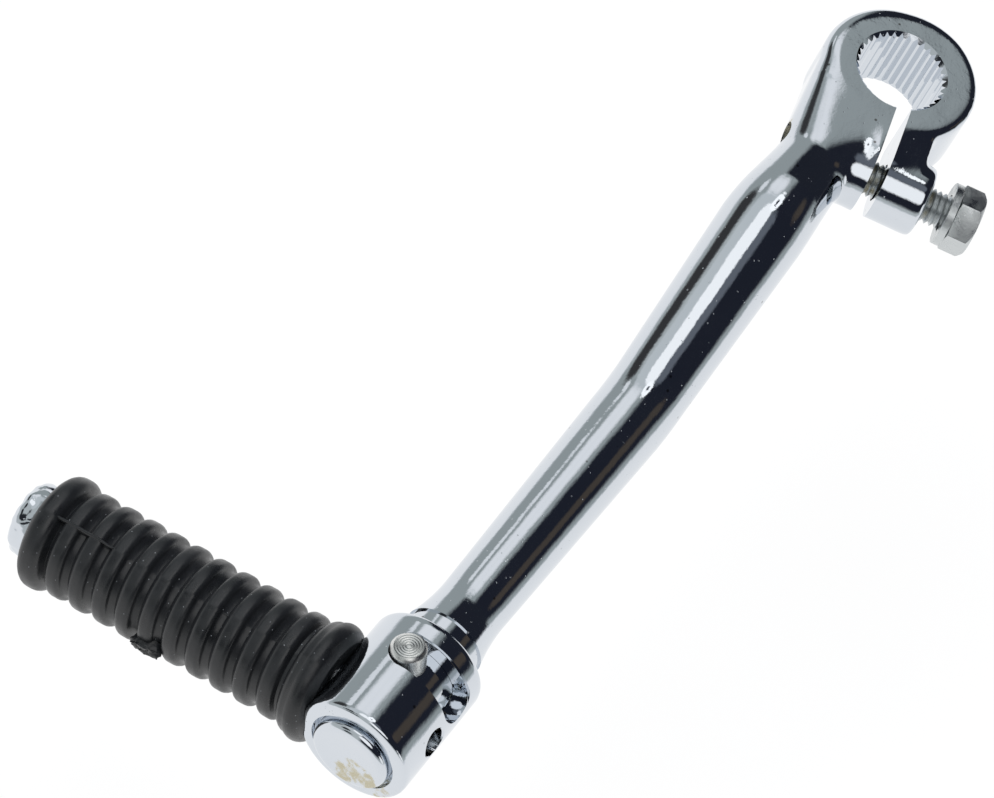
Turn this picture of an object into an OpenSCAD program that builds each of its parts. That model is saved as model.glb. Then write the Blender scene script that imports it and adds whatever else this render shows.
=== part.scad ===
// Kick start lever: a forged arm with a splined, split boss, and a pedal
// that folds about a post on the arm's end.
//
// Frame: the origin is the centre of the splined bore. +Z runs along the
// bore, towards the engine. +X runs along the arm, towards the pedal.
// The pedal is shown folded; it opens towards -Z.

/* [Boss] */
// Width of the boss along the bore
boss_w = 18; // [14:0.5:24]
// Radius of the boss
boss_r = 17.6; // [16:0.1:20]
// Rounding of the boss's rims
boss_edge = 2.6; // [1:0.1:4]
// Radius of the bore over the spline lands
spline_r = 9.6; // [8:0.1:10.5]
// Depth of the spline grooves below the lands
spline_depth = 0.65; // [0.3:0.05:1]
// Number of spline grooves
spline_count = 36; // [20:1:48]
// Share of each pitch that the groove's mouth takes
spline_groove = 0.62; // [0.4:0.02:0.65]

/* [Pinch joint] */
// Angle of the slit from the arm's direction
slit_angle = 15; // [0:1:25]
// Width of the slit
slit_w = 3.2; // [2:0.1:4]
// Distance of the slit's middle from the bore's centre
slit_offset = 3.2; // [0:0.1:4]
// Distance of the bolt from the bore's centre, along the slit
bolt_reach = 24; // [22:0.5:28]
// Radius of the two lugs
lug_r = 8; // [7:0.1:9]
// Thickness of the outer lug, from the slit to its end face
ear_t = 10.6; // [8:0.1:14]
// Distance of the outer web's flat side from the bore's centre
web_top = 12.1; // [10:0.1:14]
// Rounding of the outer web's edges
web_edge = 1.2; // [0.5:0.1:2]
// Nominal diameter of the pinch bolt
bolt_d = 8; // [6:1:8]
// Length of the bolt's shank
bolt_len = 30; // [26:1:34]
// Height of the bolt's head
bolt_head_h = 5.3; // [4:0.1:6]
// Width of the bolt's head across its flats
bolt_flats = 13; // [10:0.5:13]
// Turn of the bolt's head about the bolt
bolt_turn = 13; // [0:1:60]
// How far the bolt stands out from being screwed home
bolt_gap = 4.7; // [0:0.1:6]
// Thickness of the spring washer
washer_t = 2; // [1.6:0.1:2.5]
// Outer radius of the spring washer
washer_r = 7.1; // [6.6:0.1:7.4]
// Width of the gap in the spring washer
washer_split = 1.2; // [0.6:0.1:2]

/* [Arm] */
// Sideways offset of the arm's first stretch
root_y = -2.6; // [-4:0.1:0]
// Radius of the arm where it leaves the boss
root_r = 8.8; // [8:0.1:9.4]
// Where the first bend's corner lies along the arm
bend_1 = 46; // [42:1:56]
// Where the second bend's corner lies along the arm
bend_2 = 98; // [90:1:110]
// Radius of both bends, at the arm's centre
bend_r = 40; // [30:1:50]
// Radius of the arm at the first bend
arm_r1 = 9.5; // [8:0.1:10]
// Radius of the arm at the second bend
arm_r2 = 8.6; // [7.5:0.1:9.2]
// Radius of the arm where it meets the post
arm_r3 = 7.4; // [6.6:0.1:8]
// Sideways place of the post
post_y = 0.5; // [-1:0.1:2]
// How far the post lies outboard of the boss's middle
post_drop = 14; // [10:0.5:18]

/* [Post and pedal hinge] */
// Where the post starts along the arm
post_x = 172.5; // [165:0.5:185]
// Radius of the post
post_r = 8.53; // [8:0.01:9]
// Length of the post's flat end beyond the knuckle
post_proud = 1.8; // [1:0.1:3]
// Rounding of the post's end
post_edge = 1.45; // [0.5:0.05:1.8]
// Running clearance between post and knuckle
post_clearance = 0.07; // [0.03:0.01:0.1]
// Angle of the folded pedal about the post, from +Z towards +Y
folded_angle = -104.8; // [-112:0.1:-100]
// Angle through which the pedal folds
fold_travel = 72.4; // [60:0.1:76]
// Gap between the post's shoulder and the knuckle
shoulder_gap = 4.4; // [3:0.1:5]

/* [Knuckle] */
// Length of the barrel
barrel_len = 28; // [26:0.5:32]
// Radius of the barrel
barrel_r = 12.4; // [11.8:0.1:13.5]
// Rounding of the barrel's rims
barrel_edge = 1.4; // [0.6:0.1:1.6]
// Where the pedal's axis crosses the barrel, from the barrel's inner end
pedal_at = 17.3; // [14:0.1:17.5]
// Radius of the neck at the face that the rubber seats on
neck_r = 7; // [6.8:0.1:9.8]
// Distance of that face from the hinge axis
seat_at = 10.7; // [10.4:0.1:14]
// Radius of the spindle inside the rubber
spindle_r = 6.5; // [5:0.1:7]
// Radius of the spindle's head
head_r = 7.8; // [7.2:0.1:8.6]
// Length of the spindle's head
head_len = 5.5; // [4:0.1:7]

/* [Stop pin and detent] */
// Radius of the stop pin
pin_r = 3.7; // [3:0.1:4]
// How far the stop pin stands out of the barrel
pin_proud = 1.2; // [0:0.1:2]
// Length of the stop pin
pin_len = 17; // [12:0.5:19]
// Angle of the stop pin about the post, from +Z towards +Y
pin_angle = -15; // [-30:1:0]
// Distance of the slot's middle from the barrel's inner end
slot_at = 9; // [8:0.1:9.5]
// Clearance round the stop pin in its slot
pin_clearance = 0.3; // [0.15:0.05:0.6]
// Radius of the detent holes in the barrel
detent_hole_r = 3; // [2.4:0.1:3.1]
// Distance of the detent from the barrel's inner end
detent_at = 17.6; // [17.3:0.1:20]
// Angle of the detent about the post, from +Z towards +Y
detent_angle = 70; // [60:1:80]
// Radius of the detent ball
ball_r = 3.5; // [3.2:0.1:3.6]
// Radius of the bore for the ball and its spring
ball_bore_r = 3.6; // [3.3:0.1:3.7]
// Diameter of the detent spring's wire
wire_d = 0.8; // [0.5:0.1:0.9]
// Number of turns of the detent spring
spring_turns = 4.5; // [3:0.5:6]

/* [Pedal rubber] */
// Length of the rubber
rubber_len = 69.4; // [60:0.1:80]
// Radius over the rubber's ribs
rib_r = 11.6; // [11:0.05:12.5]
// Radius at the bottom of the grooves
groove_r = 10; // [9.4:0.1:10.6]
// Half the width of a rib
rib_half = 1.85; // [1.4:0.05:2.2]
// Number of ribs between the end beads
rib_count = 10; // [6:1:11]
// Radius over the bead at the knuckle
inner_bead_r = 12.95; // [12:0.05:14]
// Half the width of the bead at the knuckle
inner_bead_half = 3.5; // [2.5:0.1:4]
// Radius over the bead at the outer end
outer_bead_r = 12.4; // [12:0.05:13.5]
// Half the width of the bead at the outer end
outer_bead_half = 2.8; // [2:0.1:3.2]

/* [Hidden] */
$fn = 64;

// Small overlap that lets cutters and joined pieces run past each other
eps = 0.5;
// Clearance of the bolt in its thread, in the outer lug and in the washer
thread_clearance = 0.05;
ear_clearance = 0.3;
washer_clearance = 0.2;
// Clearances between the rubber and the metal
rubber_clearance = 0.05;
seat_clearance = 0.1;

slit_side = slit_offset + slit_w / 2;
slit_inner = slit_offset - slit_w / 2;
ear_end = slit_side + ear_t;
head_seat = ear_end + bolt_gap + washer_t;
bolt_r = bolt_d / 2 - thread_clearance;

post_z = -post_drop;
side_step = post_y - root_y;
bend_step = norm([side_step, post_drop]);
bend_roll = atan2(side_step, post_drop);
bend_angle = atan2(bend_step, bend_2 - bend_1);
bend_trim = bend_r * tan(bend_angle / 2);
middle_len = norm([bend_2 - bend_1, bend_step]) - 2 * bend_trim;

barrel_x = post_x + shoulder_gap;
barrel_end = barrel_x + barrel_len;
post_end = barrel_end + post_proud;
bore_r = post_r + post_clearance;
pedal_x = barrel_x + pedal_at;
slot_x = barrel_x + slot_at;
slot_r = pin_r + pin_clearance;
pin_top = barrel_r + pin_proud;
detent_x = barrel_x + detent_at;

// The ball is held in, just under the post's surface
ball_at = post_r - 0.05 - ball_r;
spring_r = ball_bore_r - 0.1 - wire_d;
spring_top = ball_at - sqrt(pow(ball_r + wire_d / 2 + 0.02, 2) - pow(spring_r, 2));
bore_floor = -post_r * 0.7;

rubber_from = seat_at + rubber_clearance;
rubber_to = rubber_from + rubber_len;
inner_bead_at = rubber_from + inner_bead_half + 0.25;
outer_bead_at = rubber_to - outer_bead_half;
rib_pitch = (outer_bead_at - inner_bead_at - 0.6) / (rib_count + 1);
first_rib_at = inner_bead_at + rib_pitch + 0.6;

// A disc's outline against the Z axis, from low to high, with both of its
// outer corners rounded
module round_profile(r, low, high, low_edge, high_edge) {
    translate([0, low]) square([r - low_edge, high - low]);
    translate([0, low]) square([r - high_edge, high - low]);
    translate([0, low + low_edge]) square([r, high - low - low_edge - high_edge]);
    translate([r - low_edge, low + low_edge]) circle(low_edge);
    translate([r - high_edge, high - high_edge]) circle(high_edge);
}

// A turned disc or bar with rounded rims
module turned(r, low, high, low_edge, high_edge) {
    rotate_extrude() round_profile(r, low, high, low_edge, high_edge);
}

// Puts its children on the bolt's axis: local Z runs out through the outer
// lug, and local X runs along the slit
module bolt_frame() {
    translate([bolt_reach * cos(slit_angle), bolt_reach * sin(slit_angle), 0])
        rotate([-90, 0, slit_angle]) children();
}

// Puts its children on the hinge axis: local Z runs along the post
module post_frame() {
    translate([0, post_y, post_z]) rotate([0, 90, 0]) children();
}

// Puts its children on a radius of the hinge, at x along it and turned by
// an angle about it: local Z runs outwards
module radial_frame(x, angle) {
    translate([x, post_y, post_z]) rotate([-angle, 0, 0]) children();
}

module spline_grooves() {
    mouth = 360 / spline_count * spline_groove / 2;
    root = spline_r + spline_depth;
    linear_extrude(boss_w + 2 * eps, center = true)
        for (i = [0 : spline_count - 1])
            rotate(i * 360 / spline_count)
                polygon([[spline_r * cos(mouth) - eps, -spline_r * sin(mouth)],
                         [spline_r * cos(mouth), -spline_r * sin(mouth)],
                         [root, 0],
                         [spline_r * cos(mouth), spline_r * sin(mouth)],
                         [spline_r * cos(mouth) - eps, spline_r * sin(mouth)]]);
}

// The lugs' bar: a ball end buried in the arm, and a flat end face
module lug_bar() {
    edge = 1;
    bolt_frame() rotate_extrude() {
        intersection() {
            translate([0, -lug_r]) circle(lug_r);
            translate([0, -2 * lug_r]) square([lug_r, 3 * lug_r]);
        }
        translate([0, -lug_r]) square([lug_r, ear_end + lug_r - edge]);
        translate([0, -lug_r]) square([lug_r - edge, ear_end + lug_r]);
        translate([lug_r - edge, ear_end - edge]) circle(edge);
    }
}

// The web from the boss to the outer lug
module ear_web() {
    half = boss_w / 2;
    for (inset = [0.05, web_edge])
        bolt_frame() linear_extrude(web_top - web_edge + inset)
            polygon([[-bolt_reach, half - inset], [-bolt_reach, inset - half],
                     [-lug_r, inset - half], [0, 1 + inset - half],
                     [0, half - 1 - inset], [-lug_r, half - inset]]);
}

// The boss, its web into the arm and the two lugs, before they are cut
module boss_body() {
    half = boss_w / 2;
    turned(boss_r, -half, half, boss_edge, boss_edge);
    hull() {
        cylinder(h = boss_w - 2 * boss_edge, r = boss_r - 0.4, center = true, $fn = 48);
        cylinder(h = boss_w - 0.05, r = boss_r - boss_edge, center = true, $fn = 48);
        translate([bend_1 - 12, root_y, 0]) sphere(root_r, $fn = 24);
    }
    lug_bar();
    ear_web();
}

module boss_cuts() {
    cylinder(h = boss_w + 2 * eps, r = spline_r, center = true);
    spline_grooves();
    rotate(slit_angle) translate([0, slit_inner, -boss_w])
        cube([bolt_reach + lug_r + 4, slit_w, 2 * boss_w]);
    bolt_frame() translate([0, 0, slit_offset])
        cylinder(h = ear_end, r = bolt_d / 2 + ear_clearance);
    bolt_frame() translate([0, 0, slit_offset - bolt_len])
        cylinder(h = bolt_len, r = bolt_d / 2);
}

// The tapered bar with its two bends, in the plane of the bends. Each
// stretch runs a little way into the bends it joins
module arm_bar() {
    start = boss_r + 4;
    into = 1.5;
    step = 0.05;
    translate([0, root_y, 0]) rotate([bend_roll, 0, 0]) {
        translate([start, 0, 0]) rotate([0, 90, 0])
            cylinder(h = bend_1 - bend_trim - start + into, r1 = root_r, r2 = arm_r1 - step);
        translate([bend_1 - bend_trim, 0, -bend_r]) rotate([90, 0, 0])
            rotate(90 - bend_angle) rotate_extrude(angle = bend_angle)
                translate([bend_r, 0]) circle(arm_r1);
        translate([bend_1, 0, 0]) rotate([0, 90 + bend_angle, 0])
            translate([0, 0, bend_trim - into])
                cylinder(h = middle_len + 2 * into, r1 = arm_r1 - step, r2 = arm_r2 - step);
        translate([bend_2 + bend_trim, 0, bend_r - bend_step]) rotate([90, 0, 0])
            rotate(-90 - bend_angle) rotate_extrude(angle = bend_angle)
                translate([bend_r, 0]) circle(arm_r2);
    }
}

// The last stretch, the flare and the post, turned about the hinge axis
module post() {
    flare = 5;
    start = bend_2 + bend_trim - 1.5;
    flat_r = post_r - post_edge;
    post_frame() rotate_extrude() {
        polygon([[0, start], [arm_r2 - 0.05, start], [arm_r3, post_x - flare],
                 for (i = [1 : 7])
                     [arm_r3 + (post_r - arm_r3) * (1 - cos(i * 90 / 8)),
                      post_x - flare + flare * sin(i * 90 / 8)],
                 [post_r, post_x], [post_r, post_end - post_edge],
                 [flat_r, post_end - post_edge], [flat_r, post_end], [0, post_end]]);
        translate([flat_r, post_end - post_edge]) circle(post_edge);
    }
}

module arm() {
    color("#c9ccd4")
    difference() {
        union() {
            boss_body();
            arm_bar();
            post();
        }
        boss_cuts();
        radial_frame(slot_x, pin_angle)
            translate([0, 0, pin_top - pin_len]) cylinder(h = pin_len, r = pin_r);
        radial_frame(detent_x, detent_angle)
            translate([0, 0, bore_floor]) cylinder(h = 2 * post_r, r = ball_bore_r);
    }
}

module pinch_bolt() {
    chamfer_r = bolt_flats / 2 * 0.97;
    corner_r = bolt_flats / 2 / cos(30);
    color("#aeb4bc")
    bolt_frame() translate([0, 0, head_seat]) {
        translate([0, 0, -bolt_len]) cylinder(h = bolt_len + eps, r = bolt_r);
        intersection() {
            rotate(bolt_turn) cylinder(h = bolt_head_h, r = corner_r, $fn = 6);
            union() {
                cylinder(h = bolt_head_h - 0.7, r = corner_r + 1);
                translate([0, 0, bolt_head_h - 0.7])
                    cylinder(h = 0.7, r1 = corner_r + 0.1, r2 = chamfer_r);
            }
        }
    }
}

module spring_washer() {
    color("#b4b8be")
    bolt_frame() translate([0, 0, head_seat - washer_t])
        difference() {
            cylinder(h = washer_t, r = washer_r);
            translate([0, 0, -eps])
                cylinder(h = washer_t + 2 * eps, r = bolt_d / 2 + washer_clearance);
            rotate(100) rotate([25, 0, 0]) translate([0, -washer_split / 2, -washer_t])
                cube([2 * washer_r, washer_split, 4 * washer_t]);
        }
}

// The bore, the slot for the stop pin, and one detent hole for each end of
// the travel
module barrel_cuts() {
    slot_half = slot_r - 0.03;
    post_frame() translate([0, 0, barrel_x - eps])
        cylinder(h = barrel_len + 2 * eps, r = bore_r);
    post_frame() translate([0, 0, slot_x - slot_half]) rotate(180 - pin_angle - fold_travel)
        rotate_extrude(angle = fold_travel)
            translate([bore_r - 1, 0]) square([barrel_r - bore_r + 3, 2 * slot_half]);
    for (angle = [pin_angle, pin_angle + fold_travel])
        radial_frame(slot_x, angle) cylinder(h = barrel_r + 2, r = slot_r);
    for (angle = [detent_angle, detent_angle + fold_travel])
        radial_frame(detent_x, angle) cylinder(h = barrel_r + 2, r = detent_hole_r);
}

// The neck from the barrel to the face that the rubber seats on, kept
// within the barrel's length
module neck() {
    intersection() {
        radial_frame(pedal_x, folded_angle)
            cylinder(h = seat_at, r1 = barrel_r - 0.4, r2 = neck_r);
        post_frame() translate([0, 0, barrel_x + eps])
            cylinder(h = barrel_len - 2 * eps, r = 2 * barrel_r);
    }
}

// The seat that is turned into the barrel for the rubber's end bead
module seat_cut() {
    radial_frame(pedal_x, folded_angle) rotate_extrude() {
        translate([0, seat_at])
            square([groove_r + seat_clearance, 2 * inner_bead_half]);
        intersection() {
            translate([inner_bead_r - inner_bead_half, inner_bead_at])
                circle(inner_bead_half + seat_clearance);
            translate([0, seat_at]) square(2 * inner_bead_r);
        }
    }
}

module knuckle() {
    color("#c9ccd4") {
        difference() {
            union() {
                post_frame() turned(barrel_r, barrel_x, barrel_end, barrel_edge, barrel_edge);
                neck();
            }
            seat_cut();
            barrel_cuts();
        }
        radial_frame(pedal_x, folded_angle) {
            translate([0, 0, bore_r + 1])
                cylinder(h = rubber_to - bore_r, r = spindle_r);
            translate([0, 0, rubber_to + rubber_clearance])
                turned(head_r, 0, head_len, 0.8, 1.6);
        }
    }
}

module stop_pin() {
    color("#a9abad")
    radial_frame(slot_x, pin_angle) translate([0, 0, pin_top - pin_len]) {
        cylinder(h = pin_len - 0.6, r = pin_r);
        translate([0, 0, pin_len - 0.6]) cylinder(h = 0.6, r1 = pin_r, r2 = pin_r - 0.6);
    }
}

module detent_ball() {
    color("#9b9ea3")
    radial_frame(detent_x, detent_angle) translate([0, 0, ball_at]) sphere(ball_r);
}

// A coil of round wire, swept along a helix about Z from low to high
module coil(radius, wire, low, high, turns) {
    sides = 8;
    steps = ceil(turns * 20);
    pitch = (high - low) / turns;
    lean = atan2(pitch, 2 * PI * radius);
    rings = [for (i = [0 : steps]) let (turn = 360 * turns * i / steps)
        for (k = [0 : sides - 1]) let (out = wire / 2 * cos(360 * k / sides),
                                      up = wire / 2 * sin(360 * k / sides))
            [(radius + out) * cos(turn) + up * sin(lean) * sin(turn),
             (radius + out) * sin(turn) - up * sin(lean) * cos(turn),
             low + (high - low) * i / steps + up * cos(lean)]];
    skin = [for (i = [0 : steps - 1]) for (k = [0 : sides - 1]) let (next = (k + 1) % sides)
        [i * sides + k, (i + 1) * sides + k, (i + 1) * sides + next, i * sides + next]];
    first_cap = [for (k = [0 : sides - 1]) k];
    last_cap = [for (k = [sides - 1 : -1 : 0]) steps * sides + k];
    polyhedron(rings, concat(skin, [first_cap, last_cap]));
}

module detent_spring() {
    color("#8f9296")
    radial_frame(detent_x, detent_angle)
        coil(spring_r, wire_d, bore_floor + wire_d / 2 + 0.05, spring_top, spring_turns);
}

// The rubber's outline on the pedal's axis: a sleeve, ribs and two end beads
module rubber_profile() {
    difference() {
        union() {
            translate([0, rubber_from]) square([groove_r, rubber_len]);
            for (i = [0 : rib_count - 1])
                translate([rib_r - rib_half, first_rib_at + i * rib_pitch]) circle(rib_half);
            translate([inner_bead_r - inner_bead_half, inner_bead_at]) circle(inner_bead_half);
            translate([outer_bead_r - outer_bead_half, outer_bead_at]) circle(outer_bead_half);
        }
        translate([-spindle_r, 0]) square([2 * spindle_r + rubber_clearance, 2 * rubber_to]);
        square([2 * inner_bead_r, rubber_from]);
    }
}

module pedal_rubber() {
    color("#26272a")
    radial_frame(pedal_x, folded_angle) rotate_extrude() rubber_profile();
}

arm();
pinch_bolt();
spring_washer();
knuckle();
stop_pin();
detent_ball();
detent_spring();
pedal_rubber();
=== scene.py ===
# %% [markdown]
# # A kick start lever
# The lever is a chromed forging with a splined clamp at one end and a folding
# rubber pedal at the other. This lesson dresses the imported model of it: the
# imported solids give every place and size, and Blender gives the surfaces.

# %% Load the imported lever
import math

import bmesh
import bpy
from mathutils import Matrix, Vector, noise


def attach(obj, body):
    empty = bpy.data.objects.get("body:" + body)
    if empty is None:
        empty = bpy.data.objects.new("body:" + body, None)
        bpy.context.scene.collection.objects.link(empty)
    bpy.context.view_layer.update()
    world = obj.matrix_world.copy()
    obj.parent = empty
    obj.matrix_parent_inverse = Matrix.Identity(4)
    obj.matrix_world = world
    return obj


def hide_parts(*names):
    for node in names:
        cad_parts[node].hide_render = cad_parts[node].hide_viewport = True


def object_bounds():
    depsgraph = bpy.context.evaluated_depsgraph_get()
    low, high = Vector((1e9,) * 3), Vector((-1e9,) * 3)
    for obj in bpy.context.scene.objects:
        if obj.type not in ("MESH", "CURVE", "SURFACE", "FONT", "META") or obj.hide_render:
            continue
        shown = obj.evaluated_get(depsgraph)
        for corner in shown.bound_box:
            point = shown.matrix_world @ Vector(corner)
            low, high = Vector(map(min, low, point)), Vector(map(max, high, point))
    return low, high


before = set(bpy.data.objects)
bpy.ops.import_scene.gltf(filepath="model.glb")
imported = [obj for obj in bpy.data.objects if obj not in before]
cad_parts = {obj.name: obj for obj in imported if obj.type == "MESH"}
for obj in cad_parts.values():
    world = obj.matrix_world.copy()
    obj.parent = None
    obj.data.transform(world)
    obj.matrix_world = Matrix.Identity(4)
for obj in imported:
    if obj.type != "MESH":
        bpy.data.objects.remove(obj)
cad_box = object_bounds()
MM = 0.001
print("pieces in the packed lever:", sorted(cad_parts))

# %% [markdown]
# The photograph was taken from above the pedal's side with a long lens, so
# the camera stands almost a metre away and hardly widens the near end. Its
# three axes are written out as the picture's right, up and towards-the-eye
# directions.

# %% Camera
PICTURE_WIDTH = 994
FOCAL_IN_PIXELS = 4284
camera_data = bpy.data.cameras.new("camera")
camera_data.sensor_width = 36
camera_data.lens = FOCAL_IN_PIXELS / PICTURE_WIDTH * camera_data.sensor_width
camera_data.clip_start = 0.01
camera_data.clip_end = 20
camera = bpy.data.objects.new("camera", camera_data)
towards_eye = Vector((0.5702, 0.0970, 0.8158)).normalized()
picture_right = Vector((-0.5357, 0.7967, 0.2797))
picture_up = towards_eye.cross(picture_right).normalized()
picture_right = picture_up.cross(towards_eye)
camera.matrix_world = Matrix.Translation((0.6200, 0.0625, 0.7048)) @ Matrix(
    (picture_right, picture_up, towards_eye)).transposed().to_4x4()
bpy.context.scene.collection.objects.link(camera)
bpy.context.scene.camera = camera
print("lens:", round(camera_data.lens, 1), "mm")

# %% [markdown]
# Every finish is a small tree of nodes. One helper adds a node: settings are
# the node's own options, and each input takes a plain value or another
# node's output. A second helper turns a colour as it is written on screen
# into the linear light that Blender reckons with.

# %% Node helpers
def linear(code):
    channels = [int(code[i:i + 2], 16) / 255 for i in (1, 3, 5)]
    return tuple(c / 12.92 if c <= 0.04045 else ((c + 0.055) / 1.055) ** 2.4 for c in channels) + (1,)


def add(tree, kind, inputs=None, **settings):
    made = tree.nodes.new("ShaderNode" + kind)
    for name, value in settings.items():
        setattr(made, name, value)
    for key, value in (inputs or {}).items():
        if isinstance(value, bpy.types.NodeSocket):
            tree.links.new(value, made.inputs[key])
        else:
            made.inputs[key].default_value = value
    return made


def mixed(tree, share, first, second):
    """Two colours blended: the first where share is 0, the second where it is 1."""
    return add(tree, "Mix", {0: share, 6: first, 7: second}, data_type="RGBA").outputs[2]


def ramp(tree, value, low, high):
    """Rises softly from 0 to 1 while the value goes from low to high."""
    return add(tree, "MapRange", {"Value": value, 1: low, 2: high},
               interpolation_type="SMOOTHSTEP").outputs[0]


def spread(tree, value, low, high, first, last):
    """Goes evenly from first to last while the value goes from low to high."""
    return add(tree, "MapRange", {"Value": value, 1: low, 2: high, 3: first, 4: last}).outputs[0]


def times(tree, a, b):
    return add(tree, "Math", {0: a, 1: b}, operation="MULTIPLY").outputs[0]


print("white on screen is", linear("#ffffff")[0], "in linear light")

# %% [markdown]
# Chrome has no colour of its own to speak of: it shows the room. The room
# here is a light tent: a white table, grey walls, a dark wall behind the
# lever and white lamp panels overhead. Only mirrors see those walls. Dull
# surfaces get an even soft light, and the camera sees plain white.

# %% World
bpy.context.scene.view_settings.view_transform = "Standard"
world = bpy.data.worlds.new("light tent")
bpy.context.scene.world = world
world.use_nodes = True
tent = world.node_tree
tent.nodes.clear()
direction = add(tent, "TexCoord").outputs["Generated"]
axes = add(tent, "SeparateXYZ", {0: direction}).outputs


def patch(aim, inner, outer):
    """How far a direction lies inside a round patch of the tent, aimed at by its middle."""
    along = add(tent, "VectorMath", {0: direction, 1: Vector(aim).normalized()},
                operation="DOT_PRODUCT").outputs["Value"]
    return ramp(tent, along, math.cos(math.radians(outer)), math.cos(math.radians(inner)))


def paint(under, share, code, strength=1.0):
    colour = [c * strength for c in linear(code)[:3]] + [1]
    return mixed(tent, share, under, colour)


TABLE_WHITE = "#fbfcff"
wall = add(tent, "RGB").outputs[0]
wall.default_value = linear("#c3c8c8")
dark_side = times(tent, ramp(tent, axes["Y"], -0.09, 0.11), ramp(tent, axes["Z"], 0.1, 0.3))
far_end = times(tent, ramp(tent, axes["X"], -0.67, -0.72), ramp(tent, axes["Y"], -0.48, -0.32))
room = paint(wall, ramp(tent, axes["X"], 0.0, -0.5), "#a4abab")
room = paint(room, dark_side, "#22252f")
room = paint(room, far_end, "#23262f")
room = paint(room, patch((-0.52, 0.66, 0.54), 3, 10), "#4b443e")
room = paint(room, patch((-0.24, -0.88, 0.36), 8, 16), "#3d3d3e")
room = paint(room, patch((-0.08, 0.12, 0.98), 6, 14), "#6b7079")
room = paint(room, patch((-0.12, -0.42, 0.9), 20, 26), "#d3d8da")
room = paint(room, patch((-0.1, -0.22, 0.97), 11, 15), "#ffffff", 1.25)
room = paint(room, patch((-0.54, -0.3, 0.79), 1, 11), "#fcfdff")
room = paint(room, patch((-0.53, -0.47, 0.7), 1, 11), "#fcfdff")
room = paint(room, patch((-0.48, -0.72, 0.48), 3, 6), "#f4f6f8")
room = paint(room, patch((-0.36, -0.08, 0.93), 7, 8.5), "#ffffff", 1.4)
room = paint(room, patch((-0.36, -0.08, 0.93), 1.5, 2.6), "#2a2f3d")
room = paint(room, patch((0.45, 0.25, 0.86), 16, 24), "#ffffff", 1.2)
room = paint(room, patch((0.2, 0.95, 0.2), 8, 14), "#ffffff", 1.1)
room = paint(room, patch((0.42, -0.66, 0.62), 8, 15), "#2b2d31")
room = paint(room, patch((0.85, -0.45, 0.3), 6, 12), "#33363a")
room = paint(room, ramp(tent, axes["Z"], 0.06, -0.1), TABLE_WHITE)
rays = add(tent, "LightPath").outputs
seen_in_mirrors = mixed(tent, rays["Is Glossy Ray"], linear("#d5d7da"), room)
shown = mixed(tent, rays["Is Camera Ray"], seen_in_mirrors, (1, 1, 1, 1))
background = add(tent, "Background", {"Color": shown, "Strength": 1.0})
add(tent, "OutputWorld", {"Surface": background.outputs[0]})

# %% [markdown]
# One large soft lamp above gives the dull pieces their light and shade.

# %% Lamp
lamp_data = bpy.data.lights.new("overhead panel", "AREA")
lamp_data.shape = "RECTANGLE"
lamp_data.size = 0.7
lamp_data.size_y = 0.5
lamp_data.energy = 9
lamp_data.use_shadow = True
lamp = bpy.data.objects.new("overhead panel", lamp_data)
lamp_place = Vector((0.0, -0.45, 0.85))
lamp.matrix_world = Matrix.Translation(lamp_place) @ (
    lamp_place - Vector((0.1, 0, 0))).to_track_quat("Z", "Y").to_matrix().to_4x4()
lamp.visible_glossy = False
bpy.context.scene.collection.objects.link(lamp)

# %% [markdown]
# The table is a plain pale sheet. The pedal unfolds downwards, so the sheet
# lies below its full reach. It glows a little, so that it looks white and
# still keeps a soft shadow.

# %% Table
table_mesh = bmesh.new()
bmesh.ops.create_grid(table_mesh, x_segments=1, y_segments=1, size=1.5)
PEDAL_REACH = 58 * MM
lowest = cad_box[0][2] - PEDAL_REACH
bmesh.ops.translate(table_mesh, verts=table_mesh.verts, vec=(0.1, 0, lowest))
table_data = bpy.data.meshes.new("table")
table_mesh.to_mesh(table_data)
table_mesh.free()
table = bpy.data.objects.new("table", table_data)
bpy.context.scene.collection.objects.link(table)
sheet = bpy.data.materials.new("white acrylic sheet")
sheet.use_nodes = True
tree = sheet.node_tree
tree.nodes.clear()
glow = add(tree, "Emission", {"Color": (1, 1, 1, 1), "Strength": 1.0})
dull = add(tree, "BsdfDiffuse", {"Color": (0.9, 0.9, 0.92, 1)})
blend = add(tree, "MixShader", {0: 0.07, 1: glow.outputs[0], 2: dull.outputs[0]})
add(tree, "OutputMaterial", {"Surface": blend.outputs[0]})
table_data.materials.append(sheet)

# %% [markdown]
# Chrome plate over a polished forging: a thin, hard, bluish mirror. The
# polishing leaves the steel slightly uneven, so the edges of each reflection
# are ragged on the scale of a millimetre, and longer waves bend them.

# %% Chrome plate
def metal(name, colour, roughness):
    made = bpy.data.materials.new(name)
    made.use_nodes = True
    nodes = made.node_tree
    nodes.nodes.clear()
    shader = add(nodes, "BsdfPrincipled", {"Base Color": linear(colour), "Metallic": 1.0,
                                           "Roughness": roughness})
    add(nodes, "OutputMaterial", {"Surface": shader.outputs[0]})
    return made, nodes, shader, add(nodes, "TexCoord").outputs["Object"]


def noise_of(nodes, place, size_mm, detail=2.0, rough=0.5):
    return add(nodes, "TexNoise", {"Vector": place, "Scale": 1000 / size_mm, "Detail": detail,
                                   "Roughness": rough}).outputs["Fac"]


def bump(nodes, height, depth_mm, normal=None):
    inputs = {"Height": height, "Strength": 1.0, "Distance": depth_mm * MM}
    if normal is not None:
        inputs["Normal"] = normal
    return add(nodes, "Bump", inputs).outputs[0]


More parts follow.
